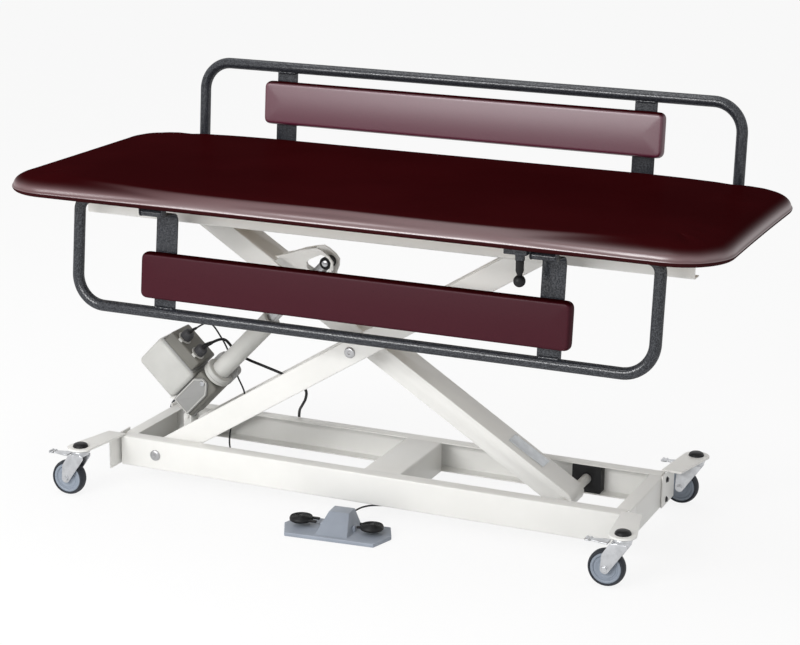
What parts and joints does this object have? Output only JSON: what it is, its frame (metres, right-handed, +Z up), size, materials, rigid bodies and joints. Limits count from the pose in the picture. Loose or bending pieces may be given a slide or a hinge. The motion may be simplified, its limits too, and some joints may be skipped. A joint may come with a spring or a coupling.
{
  "type": "powered treatment table",
  "caption": "Padded maroon treatment table on a powered scissor lift, with folding padded side rails, locking casters and a foot switch.",
  "frame": {"origin": "on the floor, at the centre of the table's bounding box", "axes": "+X along the table to the end with the foot of the inner arm, +Y to the side of the raised rail, +Z up"},
  "size_m": [1.8278, 0.8065, 1.023],
  "materials": {
    "almond_paint": "satin stove enamel, off-white",
    "grey_hammertone": "hammered enamel, dark grey",
    "maroon_vinyl": "smooth vinyl, dark maroon",
    "board": "raw plywood",
    "zinc_plate": "bright zinc plate",
    "shaft_steel": "ground steel",
    "black_plastic": "moulded, black",
    "wheel_grey": "solid grey tyre",
    "light_casing": "moulded, light grey",
    "grey_casing": "moulded, mid grey",
    "switch_grey": "blue-grey enamel",
    "cord_black": "smooth black sheath"
  },
  "bodies": {
    "base": {"base_rail_near": "almond_paint", "base_rail_far": "almond_paint", "base_end_left": "almond_paint", "base_end_right": "almond_paint", "base_middle_member": "almond_paint", "lower_pivot_shaft": "shaft_steel", "corner_bracket_left_near": "almond_paint", "corner_bracket_left_far": "almond_paint", "corner_bracket_right_near": "almond_paint", "corner_bracket_right_far": "almond_paint", "actuator_foot": "almond_paint", "foot_switch_base": "switch_grey", "foot_switch_cord": "cord_black", "mains_cord": "cord_black", "mains_coil": "cord_black", "mains_plug": "black_plastic"},
    "foot_pedal_left": {"foot_pedal_left": "black_plastic"},
    "foot_pedal_right": {"foot_pedal_right": "black_plastic"},
    "caster_left_near": {"caster_fork_left_near": "zinc_plate"},
    "wheel_left_near": {"caster_wheel_left_near": "wheel_grey"},
    "brake_left_near": {"brake_pedal_left_near": "black_plastic"},
    "caster_left_far": {"caster_fork_left_far": "zinc_plate"},
    "wheel_left_far": {"caster_wheel_left_far": "wheel_grey"},
    "brake_left_far": {"brake_pedal_left_far": "black_plastic"},
    "caster_right_near": {"caster_fork_right_near": "zinc_plate"},
    "wheel_right_near": {"caster_wheel_right_near": "wheel_grey"},
    "brake_right_near": {"brake_pedal_right_near": "black_plastic"},
    "caster_right_far": {"caster_fork_right_far": "zinc_plate"},
    "wheel_right_far": {"caster_wheel_right_far": "wheel_grey"},
    "brake_right_far": {"brake_pedal_right_far": "black_plastic"},
    "lift_arms": {"outer_arm_near": "almond_paint", "outer_arm_far": "almond_paint", "roller_shaft": "shaft_steel"},
    "upper_rollers": {"upper_roller_near": "black_plastic", "upper_roller_far": "black_plastic"},
    "inner_arm": {"inner_arm": "almond_paint", "centre_shaft": "shaft_steel", "cross_tube": "shaft_steel"},
    "slide_blocks": {"slide_block_near": "black_plastic", "slide_block_far": "black_plastic"},
    "table_top": {"upper_rail_near": "almond_paint", "upper_rail_far": "almond_paint", "upper_end_left": "almond_paint", "upper_end_right": "almond_paint", "upper_pivot_shaft": "shaft_steel", "board": "board", "cushion": "maroon_vinyl", "hinge_left_near": "grey_hammertone", "hinge_left_far": "grey_hammertone", "hinge_right_near": "grey_hammertone", "hinge_right_far": "grey_hammertone"},
    "plunger_near": {"lock_plunger_near": "black_plastic"},
    "plunger_far": {"lock_plunger_far": "black_plastic"},
    "rail_near": {"side_rail_near": "grey_hammertone", "bolster_near": "maroon_vinyl"},
    "rail_far": {"side_rail_far": "grey_hammertone", "bolster_far": "maroon_vinyl"},
    "actuator": {"motor_housing": "light_casing", "actuator_tube": "grey_casing"},
    "rod": {"actuator_rod": "shaft_steel"}
  },
  "joints": [
    {"name": "lift", "type": "hinge", "parent": "base", "child": "lift_arms", "pos_m": [-0.591, -0.0226, 0.0864], "axis": [0, -1, 0], "range_deg": [-14.1, 6.25], "deforming": ["mains_cord", "foot_switch_cord"]},
    {"name": "scissor_centre", "type": "hinge", "parent": "lift_arms", "child": "inner_arm", "pos_m": [-0.06301, -0.0226, 0.41671], "axis": [0, -1, 0], "range_deg": [-12.55, 28.25]},
    {"name": "top_pivot", "type": "hinge", "parent": "inner_arm", "child": "table_top", "pos_m": [-0.591, -0.0226, 0.74702], "axis": [0, -1, 0], "range_deg": [-14.15, 6.3]},
    {"name": "slide_block_turn", "type": "hinge", "parent": "inner_arm", "child": "slide_blocks", "pos_m": [0.46498, -0.0226, 0.0864], "axis": [0, -1, 0], "range_deg": [-14.15, 6.3]},
    {"name": "upper_rollers_spin", "type": "hinge", "parent": "lift_arms", "child": "upper_rollers", "pos_m": [0.46498, -0.0226, 0.74702], "axis": [0, 1, 0], "continuous": true},
    {"name": "actuator_swivel", "type": "hinge", "parent": "base", "child": "actuator", "pos_m": [-0.578, -0.0226, 0.15], "axis": [0, -1, 0], "range_deg": [-14.43, 6.42]},
    {"name": "rod_stroke", "type": "slide", "parent": "actuator", "child": "rod", "axis": [0.6897, 0, 0.7241], "range_m": [-0.09771, 0.04359]},
    {"name": "rail_near_fold", "type": "hinge", "parent": "table_top", "child": "rail_near", "pos_m": [0, -0.342, 0.7597], "axis": [-1, 0, 0], "range_deg": [0, 170.33]},
    {"name": "rail_far_fold", "type": "hinge", "parent": "table_top", "child": "rail_far", "pos_m": [0, 0.2968, 0.7597], "axis": [1, 0, 0], "range_deg": [-170.33, 0]},
    {"name": "plunger_near_pull", "type": "slide", "parent": "table_top", "child": "plunger_near", "axis": [0, 0, -1], "range_m": [0, 0.008], "stiffness_N_per_m": 400, "springref_m": -0.01},
    {"name": "plunger_far_pull", "type": "slide", "parent": "table_top", "child": "plunger_far", "axis": [0, 0, -1], "range_m": [0, 0.008], "stiffness_N_per_m": 400, "springref_m": -0.01},
    {"name": "swivel_left_near", "type": "hinge", "parent": "base", "child": "caster_left_near", "pos_m": [-0.7305, -0.3226, 0.09], "axis": [0, 0, 1], "continuous": true},
    {"name": "roll_left_near", "type": "hinge", "parent": "caster_left_near", "child": "wheel_left_near", "pos_m": [-0.7655, -0.3226, 0.045], "axis": [0, 1, 0], "continuous": true},
    {"name": "brake_left_near", "type": "hinge", "parent": "caster_left_near", "child": "brake_left_near", "pos_m": [-0.7665, -0.3226, 0.1045], "axis": [0, -1, 0], "range_deg": [0, 9]},
    {"name": "swivel_left_far", "type": "hinge", "parent": "base", "child": "caster_left_far", "pos_m": [-0.7305, 0.2774, 0.09], "axis": [0, 0, 1], "continuous": true},
    {"name": "roll_left_far", "type": "hinge", "parent": "caster_left_far", "child": "wheel_left_far", "pos_m": [-0.7655, 0.2774, 0.045], "axis": [0, 1, 0], "continuous": true},
    {"name": "brake_left_far", "type": "hinge", "parent": "caster_left_far", "child": "brake_left_far", "pos_m": [-0.7665, 0.2774, 0.1045], "axis": [0, -1, 0], "range_deg": [0, 9]},
    {"name": "swivel_right_near", "type": "hinge", "parent": "base", "child": "caster_right_near", "pos_m": [0.6985, -0.3226, 0.09], "axis": [0, 0, 1], "continuous": true},
    {"name": "roll_right_near", "type": "hinge", "parent": "caster_right_near", "child": "wheel_right_near", "pos_m": [0.6635, -0.3226, 0.045], "axis": [0, 1, 0], "continuous": true},
    {"name": "brake_right_near", "type": "hinge", "parent": "caster_right_near", "child": "brake_right_near", "pos_m": [0.6625, -0.3226, 0.1045], "axis": [0, -1, 0], "range_deg": [0, 9]},
    {"name": "swivel_right_far", "type": "hinge", "parent": "base", "child": "caster_right_far", "pos_m": [0.6985, 0.2774, 0.09], "axis": [0, 0, 1], "continuous": true},
    {"name": "roll_right_far", "type": "hinge", "parent": "caster_right_far", "child": "wheel_right_far", "pos_m": [0.6635, 0.2774, 0.045], "axis": [0, 1, 0], "continuous": true},
    {"name": "brake_right_far", "type": "hinge", "parent": "caster_right_far", "child": "brake_right_far", "pos_m": [0.6625, 0.2774, 0.1045], "axis": [0, -1, 0], "range_deg": [0, 9]},
    {"name": "foot_pedal_left_press", "type": "hinge", "parent": "base", "child": "foot_pedal_left", "pos_m": [-0.07488, -0.28985, 0.027], "axis": [0.0872, -0.9962, 0], "range_deg": [0, 6], "stiffness_Nm_per_rad": 0.8, "springref_deg": -6.88},
    {"name": "foot_pedal_right_press", "type": "hinge", "parent": "base", "child": "foot_pedal_right", "pos_m": [0.01486, -0.282, 0.027], "axis": [-0.0872, 0.9962, 0], "range_deg": [0, 6], "stiffness_Nm_per_rad": 0.8, "springref_deg": -6.88}
  ],
  "couplings": [
    {"joint": "scissor_centre", "follows": "lift", "ratio": -2},
    {"joint": "top_pivot", "follows": "lift", "ratio": 1},
    {"joint": "slide_block_turn", "follows": "lift", "ratio": 1},
    {"joint": "actuator_swivel", "follows": "lift", "ratio": 1.02},
    {"joint": "rod_stroke", "follows": "lift", "m_per_rad": 0.395}
  ]
}
